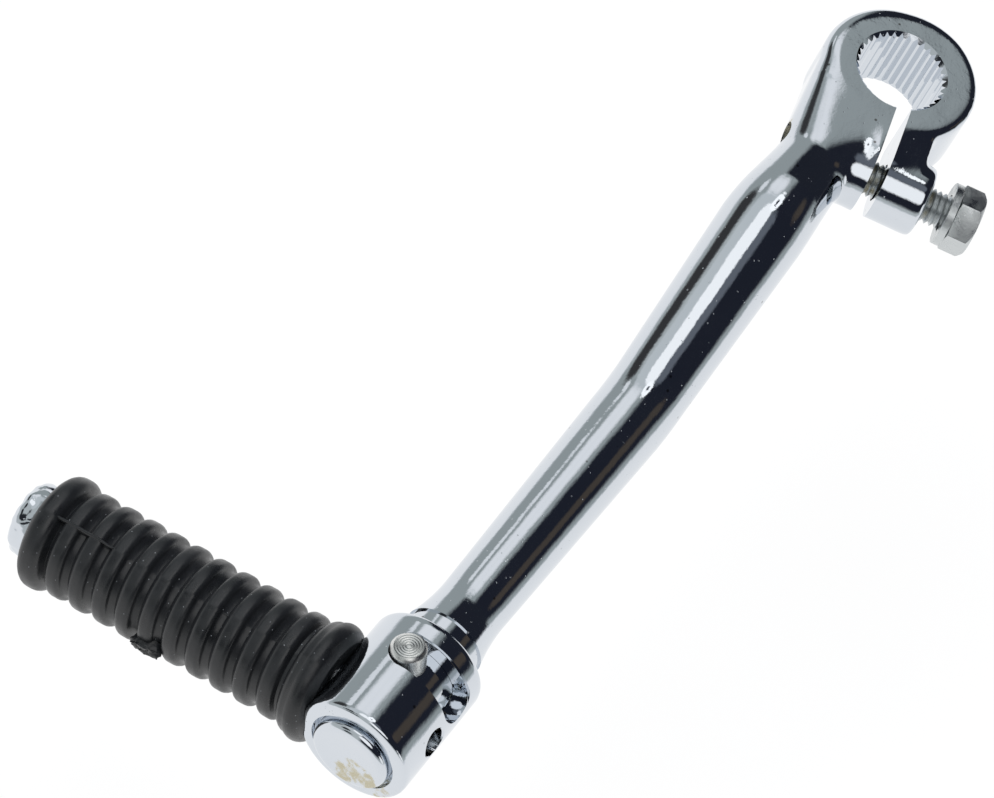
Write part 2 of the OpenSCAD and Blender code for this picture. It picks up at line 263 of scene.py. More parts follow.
def spots(nodes, place, size_mm, density, grow=0.0):
    """Small round marks: 1 inside a mark and 0 outside, on a share of the cells of the given size."""
    cells = add(nodes, "TexVoronoi", {"Vector": place, "Scale": 1000 / size_mm, "Randomness": 1.0})
    chosen = add(nodes, "SeparateColor", {0: cells.outputs["Color"]}).outputs[0]
    keep = add(nodes, "Math", {0: chosen, 1: density}, operation="LESS_THAN").outputs[0]
    return times(nodes, ramp(nodes, cells.outputs["Distance"], 0.22 + grow, 0.12 + grow), keep)


def near_point(nodes, place, point_mm, inner_mm, outer_mm):
    """1 close to a point of the lever, falling to 0 further away."""
    gap = add(nodes, "VectorMath", {0: place, 1: Vector(point_mm) * MM}, operation="DISTANCE")
    return ramp(nodes, gap.outputs["Value"], outer_mm * MM, inner_mm * MM)


def most(nodes, a, b):
    return add(nodes, "Math", {0: a, 1: b}, operation="MAXIMUM").outputs[0]


PLATE = "#d3d8de"
chrome, nodes, shader, place = metal("chrome plate on a polished forging", PLATE, 0.06)
waves = bump(nodes, noise_of(nodes, place, 9, 2, 0.4), 0.13)
pits = spots(nodes, place, 0.8, 0.07)
surface = add(nodes, "Math", {0: 1.0, 1: pits}, operation="SUBTRACT").outputs[0]
pitted = bump(nodes, surface, 0.03, waves)
grain = bump(nodes, noise_of(nodes, place, 0.8, 2, 0.6), 0.012, pitted)
nodes.links.new(grain, shader.inputs["Normal"])

# Where the plate has worn and stained: the knuckle's end face, the slot, the bolt hole's exit and the post.
blotches = noise_of(nodes, place, 3.0, 6, 0.65)
zones = near_point(nodes, place, (207, 3.5, -18.0), 4, 8)
zones = most(nodes, zones, near_point(nodes, place, (205, 9, -20), 2, 5))
zones = most(nodes, zones, near_point(nodes, place, (190, 9.5, -10), 1.5, 4.5))
zones = most(nodes, zones, near_point(nodes, place, (24.8, -9.5, 0), 3, 7))
stain = ramp(nodes, times(nodes, zones, blotches), 0.40, 0.56)
specks = spots(nodes, place, 2.6, 0.10, -0.05)
brown = mixed(nodes, times(nodes, stain, 0.6), linear(PLATE), linear("#b7a86c"))
marked = mixed(nodes, times(nodes, specks, 0.75), brown, linear("#4a4038"))
nodes.links.new(marked, shader.inputs["Base Color"])
smears = spread(nodes, noise_of(nodes, place, 14, 3), 0.4, 0.8, 0.02, 0.09)
dulled = add(nodes, "Math", {0: smears, 1: times(nodes, stain, 0.35)}, operation="ADD")
nodes.links.new(dulled.outputs[0], shader.inputs["Roughness"])
print("chrome has", len(nodes.nodes), "nodes")

# %% [markdown]
# The pinch bolt and its washer are steel with a thin zinc plate, which is
# greyer and duller than chrome. The head was cold formed and shows fine
# strokes along it, and dirt has yellowed the thread. The stop pin is bare
# steel that a lathe turned.

# %% Zinc plate and turned steel
def streaks(nodes, place, turn, size_mm, stretch):
    """Fine strokes: noise that is drawn out along one of the piece's own directions."""
    laid = add(nodes, "Mapping", {"Vector": place, "Rotation": turn, "Scale": (1, 1, 1 / stretch)})
    return noise_of(nodes, laid.outputs[0], size_mm, 3, 0.6)


zinc, nodes, shader, place = metal("zinc plate on steel hardware", "#c6cacb", 0.34)
strokes = streaks(nodes, place, (math.radians(90), 0, 0), 0.35, 9)
blotches = noise_of(nodes, place, 2.2, 4, 0.6)
rough_skin = bump(nodes, noise_of(nodes, place, 0.5, 3), 0.02)
nodes.links.new(bump(nodes, strokes, 0.03, rough_skin), shader.inputs["Normal"])
nodes.links.new(spread(nodes, blotches, 0.3, 0.7, 0.22, 0.46), shader.inputs["Roughness"])
on_thread = near_point(nodes, place, (20.2, 17.5, 0), 5.2, 7.5)
in_slit = near_point(nodes, place, (22.4, 9.3, 0), 3.5, 5.5)
dirty = times(nodes, most(nodes, on_thread, in_slit), blotches)
dirt = spread(nodes, dirty, 0.38, 0.62, 0.0, 0.6)
tint = mixed(nodes, blotches, linear("#babfc1"), linear("#d3d6d6"))
nodes.links.new(mixed(nodes, dirt, tint, linear("#8f855f")), shader.inputs["Base Color"])
print("zinc has", len(nodes.nodes), "nodes")

steel, nodes, shader, place = metal("turned bare steel", "#d2d3d0", 0.3)
steel_grain = noise_of(nodes, place, 0.3, 4, 0.6)
nodes.links.new(bump(nodes, steel_grain, 0.012), shader.inputs["Normal"])
steel_tint = mixed(nodes, noise_of(nodes, place, 3, 3), linear("#cccdcb"), linear("#e8e9e7"))
nodes.links.new(steel_tint, shader.inputs["Base Color"])
nodes.links.new(spread(nodes, steel_grain, 0.3, 0.7, 0.24, 0.36), shader.inputs["Roughness"])
print("steel has", len(nodes.nodes), "nodes")

# %% [markdown]
# The rubber is moulded in a polished steel mould, so its skin is black with a
# satin gloss. Years of shoes have dulled the tops of the ribs in patches and
# left pale dust in the grooves, and tiny light specks all over.

# %% Moulded rubber
rubber = bpy.data.materials.new("moulded black rubber")
rubber.use_nodes = True
nodes = rubber.node_tree
nodes.nodes.clear()
place = add(nodes, "TexCoord").outputs["Object"]
scuffs = noise_of(nodes, place, 6, 4, 0.6)
skin_grain = noise_of(nodes, place, 0.45, 3, 0.6)
dust = spots(nodes, place, 0.9, 0.16, -0.06)
film = mixed(nodes, scuffs, linear("#0f1012"), linear("#1d1f22"))
dusty = mixed(nodes, times(nodes, dust, 0.75), film, linear("#8f9398"))
gloss = spread(nodes, scuffs, 0.35, 0.7, 0.25, 0.46)
shader = add(nodes, "BsdfPrincipled", {"Base Color": dusty, "Roughness": gloss, "IOR": 1.52,
                                       "Normal": bump(nodes, skin_grain, 0.02, bump(nodes, scuffs, 0.1))})
add(nodes, "OutputMaterial", {"Surface": shader.outputs[0]})
print("rubber has", len(nodes.nodes), "nodes")

# %% [markdown]
# Most pieces here are bars, discs and rings that a lathe could make, so one
# helper spins a half outline round the Z axis. Another lays a finished shape
# on its own axis of the lever, and a third hands the mesh to the scene: it
# keeps crooked faces smooth and every corner above 35 degrees crisp.

# %% Modelling helpers
def spun(outline, steps=96):
    """A turned shape from (radius, height) points in mm, which start and end on the axis or meet."""
    mesh = bmesh.new()
    corners = [mesh.verts.new((r * MM, 0, z * MM)) for r, z in outline]
    edges = [mesh.edges.new(pair) for pair in zip(corners, corners[1:])]
    bmesh.ops.spin(mesh, geom=corners + edges, cent=(0, 0, 0), axis=(0, 0, 1), dvec=(0, 0, 0),
                   angle=math.tau, steps=steps, use_merge=True, use_duplicate=False)
    tidy_shell(mesh)
    return mesh


def tidy_shell(mesh):
    bmesh.ops.remove_doubles(mesh, verts=mesh.verts, dist=0.0005 * MM)
    bmesh.ops.dissolve_degenerate(mesh, edges=mesh.edges, dist=0.0002 * MM)
    bmesh.ops.recalc_face_normals(mesh, faces=mesh.faces)


def arc(centre, radius, first, last, steps=6):
    """Points of an arc in an outline, from one angle to another, in mm and degrees."""
    return [(centre[0] + radius * math.cos(math.radians(first + (last - first) * i / steps)),
             centre[1] + radius * math.sin(math.radians(first + (last - first) * i / steps)))
            for i in range(steps + 1)]


def moved(mesh, matrix):
    bmesh.ops.transform(mesh, matrix=matrix, verts=mesh.verts)
    return mesh


def joined(*meshes):
    """Closed shells laid into one mesh."""
    whole = bmesh.new()
    for mesh in meshes:
        part = bpy.data.meshes.new("part")
        mesh.to_mesh(part)
        whole.from_mesh(part)
        mesh.free()
        bpy.data.meshes.remove(part)
    return whole


def piece_from(name, mesh):
    data = bpy.data.meshes.new(name)
    mesh.to_mesh(data)
    mesh.free()
    data.update()
    made = bpy.data.objects.new(name, data)
    bpy.context.scene.collection.objects.link(made)
    return made


def settled(piece):
    """Turns a piece's modifiers into plain mesh."""
    result = bpy.data.meshes.new_from_object(piece.evaluated_get(bpy.context.evaluated_depsgraph_get()))
    old = piece.data
    piece.modifiers.clear()
    piece.data = result
    bpy.data.meshes.remove(old)
    return piece


def report(piece):
    """Volume in cubic mm and open edges, which a closed shell doesn't have."""
    mesh = bmesh.new()
    mesh.from_mesh(piece.data)
    volume = mesh.calc_volume(signed=True) / MM ** 3
    opened = sum(not edge.is_manifold for edge in mesh.edges)
    mesh.free()
    return f"{volume:.1f} mm3 ({opened} open edges)"


def cut(piece, mesh):
    """Takes a closed cutter out of a piece."""
    tool = piece_from("cutter", mesh)
    for solid in (tool, piece):
        solid.data.transform(Matrix.Scale(1 / MM, 4))
        solid.data.update()
    work = piece.modifiers.new("cut", "BOOLEAN")
    work.object = tool
    work.operation = "DIFFERENCE"
    work.solver = "MANIFOLD"
    settled(piece)
    for solid in (tool, piece):
        solid.data.transform(Matrix.Scale(MM, 4))
        solid.data.update()
    print(report(tool), "out of", piece.name, "leaves", report(piece))
    bpy.data.objects.remove(tool)


def dress(piece, finish, slot, body, *stands_for, crisp=35):
    piece.data.materials.clear()
    piece.data.materials.append(finish)
    piece.data.shade_smooth()
    piece.data.set_sharp_from_angle(angle=math.radians(crisp))
    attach(piece, body)
    if stands_for:
        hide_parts(*stands_for)
    print(piece.name, "has", len(piece.data.polygons), "faces")


def rod(radius, low, high, steps=64):
    """A plain cylinder on Z, for a cutter."""
    return spun([(0, low), (radius, low), (radius, high), (0, high)], steps)


def fused(piece, voxel_mm):
    """Fuses a piece's shells into one skin and returns it for smoothing."""
    fuse = piece.modifiers.new("fuse", "REMESH")
    fuse.mode = "VOXEL"
    fuse.voxel_size = voxel_mm * MM
    settled(piece)
    skin = bmesh.new()
    skin.from_mesh(piece.data)
    return skin


def smoothed(skin, verts, passes):
    for _ in range(passes):
        bmesh.ops.smooth_vert(skin, verts=verts, factor=0.5, use_axis_x=True, use_axis_y=True,
                              use_axis_z=True)


def trimmed(mesh, plane_x, towards):
    """Cuts a mesh off at a plane across X and closes it with a face."""
    bmesh.ops.bisect_plane(mesh, geom=mesh.verts[:] + mesh.edges[:] + mesh.faces[:], dist=1e-7,
                           plane_co=(plane_x * MM, 0, 0), plane_no=(towards, 0, 0), clear_outer=True)
    bmesh.ops.contextual_create(mesh, geom=[edge for edge in mesh.edges if edge.is_boundary])


# %% [markdown]
# Three axes of the lever carry everything: the bore, which is the frame's own
# Z, the pinch bolt's axis, and the hinge's axis. A fourth family of axes runs
# out from the hinge: the pedal, the stop pin and the detent lie on these.

# %% Axes
SLIT_ANGLE = 15
BOLT_REACH = 24
POST_Y = 0.5
POST_Z = -14
PEDAL_X = 194.2
FOLDED = -104.8
TRAVEL = 72.4
SLOT_X = 185.9
PIN_ANGLE = -15
DETENT_X = 194.5
DETENT_ANGLE = 70
bolt_axis = Matrix.Rotation(math.radians(SLIT_ANGLE), 4, "Z") @ Matrix.Translation(
    (BOLT_REACH * MM, 0, 0)) @ Matrix.Rotation(math.radians(-90), 4, "X")
hinge_axis = Matrix.Translation((0, POST_Y * MM, POST_Z * MM)) @ Matrix.Rotation(math.radians(90), 4, "Y")


def outwards(x, angle):
    """The frame of an axis that leaves the hinge at x, turned from +Z towards +Y."""
    foot = Matrix.Translation((x * MM, POST_Y * MM, POST_Z * MM))
    return foot @ Matrix.Rotation(math.radians(-angle), 4, "X")


pedal_axis = outwards(PEDAL_X, FOLDED)
print("the pedal's axis points to", [round(v, 3) for v in pedal_axis.to_3x3() @ Vector((0, 0, 1))])

# %% [markdown]
# The arm is one drop forging: a clamp boss, a web, two lugs and a bar with
# two bends. Forging leaves no sharp inner corner anywhere. The bar comes
# first. It is a ring that is extruded step by step along the path, and each
# new ring is carried on to its own place, direction and radius.

# %% The bar's path
ROOT_Y = -2.6
BEND_1 = 46
BEND_2 = 98
BEND_R = 40
ROOT_R = 8.1
BEND_1_R = (9.2, 9.75)
BEND_2_R = 8.6
NECK_R = 7.4
FLARE_END = 172.4
FLARE_LENGTH = 11
FLARE_RISE = 1.4
side_step = POST_Y - ROOT_Y
bend_step = math.hypot(side_step, POST_Z)
bend_angle = math.atan2(bend_step, BEND_2 - BEND_1)
bend_trim = BEND_R * math.tan(bend_angle / 2)
bend_plane = Matrix.Translation((0, ROOT_Y * MM, 0)) @ Matrix.Rotation(
    math.atan2(side_step, -POST_Z), 4, "X")


def path_point(x, z, lean, radius):
    """A ring's frame: its middle in the plane of the bends, and its radius."""
    middle = bend_plane @ Matrix.Translation((x * MM, 0, z * MM))
    return middle @ Matrix.Rotation(math.pi / 2 + lean, 4, "Y"), radius


stations = []
straight_1 = BEND_1 - bend_trim
for i in range(12):
    x = 14 + (straight_1 - 14) * i / 12
    swell = max(0, (x - 26) / (straight_1 - 26))
    stations.append(path_point(x, 0, 0, ROOT_R + (BEND_1_R[0] - ROOT_R) * swell))
for i in range(13):
    turn = bend_angle * i / 12
    radius = BEND_1_R[0] + (BEND_1_R[1] - BEND_1_R[0]) * math.sin(math.pi / 2 * i / 12)
    stations.append(path_point(straight_1 + BEND_R * math.sin(turn), -BEND_R * (1 - math.cos(turn)),
                               turn, radius))
middle_start = Vector((BEND_1 + bend_trim * math.cos(bend_angle), -bend_trim * math.sin(bend_angle)))
middle_end = Vector((BEND_2 - bend_trim * math.cos(bend_angle),
                     -bend_step + bend_trim * math.sin(bend_angle)))
for i in range(1, 12):
    spot = middle_start.lerp(middle_end, i / 12)
    radius = BEND_1_R[1] + (BEND_2_R - BEND_1_R[1]) * i / 12
    stations.append(path_point(spot.x, spot.y, bend_angle, radius))
for i in range(13):
    turn = bend_angle * (1 - i / 12)
    stations.append(path_point(BEND_2 + bend_trim - BEND_R * math.sin(turn),
                               -bend_step + BEND_R * (1 - math.cos(turn)), turn, BEND_2_R))
straight_3 = BEND_2 + bend_trim
flare_start = FLARE_END - FLARE_LENGTH
for i in range(1, 17):
    x = straight_3 + (flare_start - straight_3) * i / 16
    stations.append(path_point(x, -bend_step, 0, BEND_2_R + (NECK_R - BEND_2_R) * i / 16))
for i in range(1, 10):
    share = i / 8
    stations.append(path_point(flare_start + FLARE_LENGTH * share, -bend_step, 0,
                               NECK_R + FLARE_RISE * share ** 1.9))
print("rings along the bar:", len(stations), "over", round(stations[-1][0].translation.x / MM), "mm")

# %% [markdown]
# The sweep starts as one capped circle. Extruding its rim and moving the new
# rim by the step between two frames keeps all the side faces in line.

# %% Sweep the bar
def swept(frames, segments=72):
    mesh = bmesh.new()
    place, radius = frames[0]
    now = place @ Matrix.Scale(radius * MM, 4)
    bmesh.ops.create_circle(mesh, cap_ends=True, radius=1.0, segments=segments, matrix=now)
    ring = [edge for edge in mesh.edges if edge.is_boundary or len(edge.link_faces) == 1]
    for place, radius in frames[1:]:
        after = place @ Matrix.Scale(radius * MM, 4)
        grown = bmesh.ops.extrude_edge_only(mesh, edges=ring)["geom"]
        bmesh.ops.transform(mesh, matrix=after @ now.inverted(),
                            verts=[v for v in grown if isinstance(v, bmesh.types.BMVert)])
        ring = [e for e in grown if isinstance(e, bmesh.types.BMEdge) and len(e.link_faces) == 1]
        now = after
    bmesh.ops.contextual_create(mesh, geom=ring)
    tidy_shell(mesh)
    return mesh


bar = swept(stations)
print("the bar has", len(bar.faces), "faces")

# %% [markdown]
# The boss, the web into the arm, the two lugs on the bolt's axis and the
# outer web are closed shells that run into each other. The hull of a disc and
# a ball gives the web into the arm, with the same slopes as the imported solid.

# %% Boss, webs and lugs
BOSS_R = 17.6
HALF_W = 9
EAR_END = 15.4
LUG_R = 8
boss = spun([(0, -HALF_W)] + arc((BOSS_R - 2.6, -HALF_W + 2.6), 2.6, -90, 0, 8)
            + arc((BOSS_R - 2.6, HALF_W - 2.6), 2.6, 0, 90, 8) + [(0, HALF_W)])
for vert in boss.verts:
    turn = math.degrees(math.atan2(vert.co.y, vert.co.x)) % 360
    away = math.hypot(vert.co.x, vert.co.y) / MM
    over = abs(vert.co.z) / MM - (HALF_W - 2.6)
    out = away - (BOSS_R - 2.6)
    if over > -1e-4 and out > -1e-4:
        round_to = 0.9 + 2.1 * min(1.0, max(0.0, (abs((turn - 112 + 180) % 360 - 180) - 48) / 45))
        if vert.co.z < 0:
            round_to = 2.6
        share = math.atan2(over, out)
        vert.co.xy *= (BOSS_R - round_to + round_to * math.cos(share)) / away
        vert.co.z = math.copysign((HALF_W - round_to + round_to * math.sin(share)) * MM, vert.co.z)
root = spun([(0, -HALF_W + 0.1)] + arc((BOSS_R - 3, -HALF_W + 2.7), 2.6, -90, 0, 8)
            + arc((BOSS_R - 3, HALF_W - 2.7), 2.6, 0, 90, 8) + [(0, HALF_W - 0.1)])
bmesh.ops.create_uvsphere(root, u_segments=48, v_segments=32, radius=8.3 * MM,
                          matrix=Matrix.Translation((30 * MM, ROOT_Y * MM, 0)))
bmesh.ops.delete(root, geom=root.edges[:] + root.faces[:], context="EDGES_FACES")
bmesh.ops.convex_hull(root, input=root.verts[:])
bmesh.ops.delete(root, geom=[vert for vert in root.verts if not vert.link_faces], context="VERTS")
bmesh.ops.recalc_face_normals(root, faces=root.faces)
print("open edges in the hull:", sum(not edge.is_manifold for edge in root.edges))
lugs = spun(arc((0, -LUG_R), LUG_R, -90, 0, 12) + arc((LUG_R - 1, EAR_END - 1), 1, 0, 90, 5)
            + [(0, EAR_END)])
moved(lugs, bolt_axis)
web = bmesh.new()
bmesh.ops.create_cube(web, size=1.0, matrix=Matrix.Translation((-11.2 * MM, 0, 6 * MM))
                      @ Matrix.Diagonal((25.6 * MM, 17.98 * MM, 12.2 * MM, 1)))
bmesh.ops.bisect_plane(web, geom=web.verts[:] + web.edges[:] + web.faces[:], dist=1e-7,
                       plane_co=(-0.5 * MM, 0, 0), plane_no=(1, 0, 0))
for vert in web.verts:
    if vert.co.x > 0:
        vert.co.y *= 0.88
top_edges = [edge for edge in web.edges if all(v.co.z > 5 * MM for v in edge.verts)
             and abs(edge.verts[0].co.x - edge.verts[1].co.x) > 1 * MM]
bmesh.ops.bevel(web, geom=top_edges, offset=1.2 * MM, offset_type="OFFSET", affect="EDGES", segments=4,
                profile=0.5, material=-1, clamp_overlap=True)
moved(web, bolt_axis)
print("boss", len(boss.faces), "root", len(root.faces), "lugs", len(lugs.faces), "web", len(web.faces))

# %% [markdown]
# A voxel remesh fuses the shells into one skin, as a die forges them from one
# bar. A few smoothing passes then draw the inner corners into fillets. The
# bar's own points are put back on its exact round shape afterwards, because a
# mirror finish shows every dent of a remesh.

# %% Fuse the forging
forging = piece_from("arm_forging", joined(boss, root, lugs, web, bar))
skin = fused(forging, 0.5)
smoothed(skin, skin.verts, 9)
middles = [(place.translation.copy(), radius) for place, radius in stations]


def on_bar(point):
    """The point's place on the bar's round skin."""
    best = None
    for (a, r_a), (b, r_b) in zip(middles, middles[1:]):
        along = (point - a).dot(b - a) / (b - a).length_squared
        along = min(1.0, max(0.0, along))
        spot = a.lerp(b, along)
        gap = (point - spot).length
        if best is None or gap < best[0]:
            best = (gap, spot, (r_a + (r_b - r_a) * along) * MM)
    gap, spot, radius = best
    return spot + (point - spot) * (radius / max(gap, 1e-9)), abs(gap - radius)


to_bolt = bolt_axis.inverted()
soft = [v for v in skin.verts if 13 * MM < v.co.x < 42 * MM and (to_bolt @ v.co).z < 0.5 * MM]
smoothed(skin, soft, 22)
for vert in skin.verts:
    x = vert.co.x / MM
    if 36 < x < FLARE_END + 1:
        target, off = on_bar(vert.co)
        near = 1.0 if x > 48 else max(0.0, 1 - off / (1.2 * MM))
        vert.co = vert.co.lerp(target, near * min(1.0, (x - 36) / 9))
trimmed(skin, FLARE_END - 0.2, 1)
bmesh.ops.recalc_face_normals(skin, faces=skin.faces)
skin.to_mesh(forging.data)
skin.free()
print("the fused forging has", len(forging.data.polygons), "faces")

# %% [markdown]
# The machined cuts come after the forging, as in the workshop: the splined
# bore, the slit and the bolt hole. Each cutter is a closed shell. The bore's
# cutter starts as a circle of 108 points, and every third point moves out to
# the root of a groove.

# %% Machine the boss
SPLINE_R = 9.6
splines = bmesh.new()
bmesh.ops.create_circle(splines, cap_ends=True, radius=SPLINE_R * MM, segments=108,
                        matrix=Matrix.Translation((0, 0, -12 * MM)))
flat = list(splines.faces)
for vert in splines.verts:
    turn = math.degrees(math.atan2(vert.co.y, vert.co.x)) % 10
    if min(turn, 10 - turn) < 0.5:
        vert.co.xy *= (SPLINE_R + 0.7) / SPLINE_R
raised = bmesh.ops.extrude_face_region(splines, geom=flat)["geom"]
bmesh.ops.translate(splines, verts=[v for v in raised if isinstance(v, bmesh.types.BMVert)],
                    vec=(0, 0, 24 * MM))
bmesh.ops.recalc_face_normals(splines, faces=splines.faces)
cut(forging, splines)
for side in (-1, 1):
    chamfer = spun([(0, HALF_W - 1.0), (SPLINE_R - 0.05, HALF_W - 1.0), (SPLINE_R + 1.35, HALF_W + 0.4),
                    (0, HALF_W + 0.4)], 108)
    if side < 0:
        moved(chamfer, Matrix.Rotation(math.pi, 4, "X"))
    cut(forging, chamfer)
slit = bmesh.new()
bmesh.ops.create_cube(slit, size=1.0, matrix=Matrix.Rotation(math.radians(SLIT_ANGLE), 4, "Z")
                      @ Matrix.Translation((18.2 * MM, 3.2 * MM, 0))
                      @ Matrix.Diagonal((36.4 * MM, 3.2 * MM, 30 * MM, 1)))
cut(forging, slit)
clearance_hole = rod(4.3, 2, 20)
cut(forging, moved(clearance_hole, bolt_axis))
mouth = spun([(0, EAR_END - 0.5), (4.3, EAR_END - 0.5), (5.0, EAR_END + 0.2), (0, EAR_END + 0.2)])
cut(forging, moved(mouth, bolt_axis))
thread_hole = rod(3.95, -20, 4)
cut(forging, moved(thread_hole, bolt_axis))
dress(forging, chrome, "chrome", "arm", "arm", crisp=38)

# %% [markdown]
# The post is turned at the end of the forging. The flare ends in a thin
# bright rim, and the post leaves it a little narrower. Its far end is a flat
# disc with a rounded edge. The knuckle hides the cross bores inside it.

# %% Post
POST_R = 8.53
POST_END = 206.7
post = spun([(0, 160), (6.8, 160), (6.8, FLARE_END - 0.3), (8.3, FLARE_END - 0.3), (8.3, 176.4),
             (POST_R, 176.7)]
            + arc((POST_R - 1.45, POST_END - 1.45), 1.45, 0, 80, 8)
            + [(6.6, POST_END - 0.02), (6.3, POST_END - 0.1), (0, POST_END - 0.16)], 128)
arm_post = piece_from("arm_post", moved(post, hinge_axis))
cut(arm_post, moved(rod(3.7, -4, 14), outwards(SLOT_X, PIN_ANGLE)))
cut(arm_post, moved(rod(3.6, -5.97, 14), outwards(DETENT_X, DETENT_ANGLE)))
dress(arm_post, chrome, "chrome", "arm")

# %% [markdown]
# The knuckle is a second small forging: a barrel with a short neck that runs
# out of it to the rubber's seat. It is fused and smoothed in the same way,
# then the bore, the slot for the stop pin and the detent holes are cut.

# %% Knuckle
BARREL = (176.9, 204.9)
BARREL_R = 12.4
SEAT = 10.7
barrel = spun([(0, BARREL[0])] + arc((BARREL_R - 1.4, BARREL[0] + 1.4), 1.4, -90, 0, 6)
              + arc((BARREL_R - 0.9, BARREL[1] - 0.9), 0.9, 0, 90, 6) + [(0, BARREL[1])], 128)
moved(barrel, hinge_axis)
neck = spun([(0, 0), (BARREL_R - 0.8, 0), (8.4, 5), (6.6, SEAT + 0.6), (0, SEAT + 0.6)], 128)
moved(neck, pedal_axis)
for side, sign in ((BARREL[0] + 0.6, -1), (BARREL[1] - 0.6, 1)):
    trimmed(neck, side, sign)
bmesh.ops.recalc_face_normals(neck, faces=neck.faces)
knuckle = piece_from("knuckle_forging", joined(barrel, neck))
skin = fused(knuckle, 0.33)
smoothed(skin, skin.verts, 7)
to_hinge = hinge_axis.inverted()
for vert in skin.verts:
    local = to_hinge @ vert.co
    away = math.hypot(local.x, local.y)
    if abs(away - BARREL_R * MM) < 0.35 * MM and BARREL[0] + 1.7 < local.z / MM < BARREL[1] - 1.3:
        rounded = Vector((local.x * BARREL_R * MM / away, local.y * BARREL_R * MM / away, local.z))
        vert.co = to_hinge.inverted() @ rounded
skin.to_mesh(knuckle.data)
skin.free()
cut(knuckle, moved(rod(8.6, 170, 210, steps=128), hinge_axis))
seat_cutter = spun([(0, SEAT), (10.3, SEAT), (11.1, SEAT + 0.5), (12.2, SEAT + 1.7), (12.8, SEAT + 2.9),
                    (13.1, SEAT + 4.5), (13.1, SEAT + 9), (0, SEAT + 9)], 128)
cut(knuckle, moved(seat_cutter, pedal_axis))
recess = spun([(0, BARREL[1] - 1.5), (8.62, BARREL[1] - 1.5), (9.25, BARREL[1] - 0.9),
               (9.35, BARREL[1] - 0.2), (9.6, BARREL[1] + 0.4), (0, BARREL[1] + 0.4)], 128)
cut(knuckle, moved(recess, hinge_axis))
inner_rim = spun([(0, BARREL[0] - 0.35), (9.4, BARREL[0] - 0.35), (8.62, BARREL[0] + 0.45),
                  (0, BARREL[0] + 0.45)], 128)
cut(knuckle, moved(inner_rim, hinge_axis))
print("the fused knuckle has", len(knuckle.data.polygons), "faces")

# %% [markdown]
# The slot runs 72 degrees round the barrel, as far as the pedal folds. Its
# cutter is a flat block that is spun about the hinge, a round cutter at each
# end rounds it off, and a wider pair opens its mouth.

# %% Slot and detent holes
def slot_cutter(half, low, high):
    """A curved bar about the hinge, from the stop pin's place through the travel."""
    block = bmesh.new()
    middle = Matrix.Translation((0, 0, (low + high) / 2 * MM))
    bmesh.ops.create_grid(block, x_segments=1, y_segments=1, size=1.0,
                          matrix=outwards(SLOT_X, PIN_ANGLE) @ middle @ Matrix.Rotation(math.pi / 2, 4, "X")
                          @ Matrix.Diagonal((half * MM, (high - low) / 2 * MM, 1, 1)))
    bmesh.ops.spin(block, geom=block.verts[:] + block.edges[:] + block.faces[:],
                   cent=hinge_axis.translation, axis=(-1, 0, 0), dvec=(0, 0, 0),
                   angle=math.radians(TRAVEL), steps=24, use_merge=False, use_duplicate=False)
    bmesh.ops.remove_doubles(block, verts=block.verts, dist=0.001 * MM)
    bmesh.ops.recalc_face_normals(block, faces=block.faces)
    return block


for half, low, high in ((3.97, 7, 15), (4.3, 12.05, 15)):
    cut(knuckle, slot_cutter(half, low, high))
    for turn in (PIN_ANGLE, PIN_ANGLE + TRAVEL):
        cut(knuckle, moved(rod(half + 0.03, low, high), outwards(SLOT_X, turn)))
DETENT_HOLE_R = 3.04
for turn in (DETENT_ANGLE, DETENT_ANGLE + TRAVEL):
    cut(knuckle, moved(rod(DETENT_HOLE_R, 7, 15), outwards(DETENT_X, turn)))
    mouth = spun([(0, 12.0), (DETENT_HOLE_R, 12.0), (3.6, 12.6), (3.6, 14), (0, 14)], 64)
    cut(knuckle, moved(mouth, outwards(DETENT_X, turn)))
dress(knuckle, chrome, "chrome", "pedal", "knuckle", crisp=38)

# %% [markdown]
# The rubber sits on a plain spindle. Only its end shows: a chromed knob
# with shallow dents all over. Smooth noise moves the points of a turned knob
# in and out by a few tenths of a millimetre.

# %% Spindle and knob
RUBBER = (10.75, 80.15)
spindle = spun([(0, 9.4), (6.5, 9.4), (6.5, RUBBER[1] + 0.3), (0, RUBBER[1] + 0.3)], 64)
pedal_spindle = piece_from("pedal_spindle", moved(spindle, pedal_axis))
dress(pedal_spindle, chrome, "chrome", "pedal")
KNOB_R = 8.1
KNOB = (RUBBER[1] + 0.05, RUBBER[1] + 5.5)
knob = spun([(0, KNOB[0])] + arc((KNOB_R - 0.7, KNOB[0] + 0.7), 0.7, -90, 0, 5)
            + arc((KNOB_R - 2.2, KNOB[1] - 2.2), 2.2, 0, 90, 8)
            + [(2.5, KNOB[1] - 0.02), (0, KNOB[1] - 0.1)], 96)
for _ in range(2):
    long_edges = [edge for edge in knob.edges if edge.calc_length() > 0.7 * MM]
    bmesh.ops.subdivide_edges(knob, edges=long_edges, cuts=1, use_grid_fill=True)
knob.normal_update()
for vert in knob.verts:
    dent = noise.noise(vert.co / (2.6 * MM)) + 0.5 * noise.noise(vert.co / (1.3 * MM))
    vert.co -= vert.normal * (0.14 + 0.36 * dent) * MM
pedal_knob = piece_from("pedal_knob", moved(knob, pedal_axis))
dress(pedal_knob, chrome, "chrome", "pedal", crisp=60)

# %% [markdown]
# The pinch bolt is standard hardware, unscrewed a little. Its head is a
# six-sided disc whose corners a turning tool took off, and the thread is one
# V-shaped tooth that is spun up the shank in a screw.

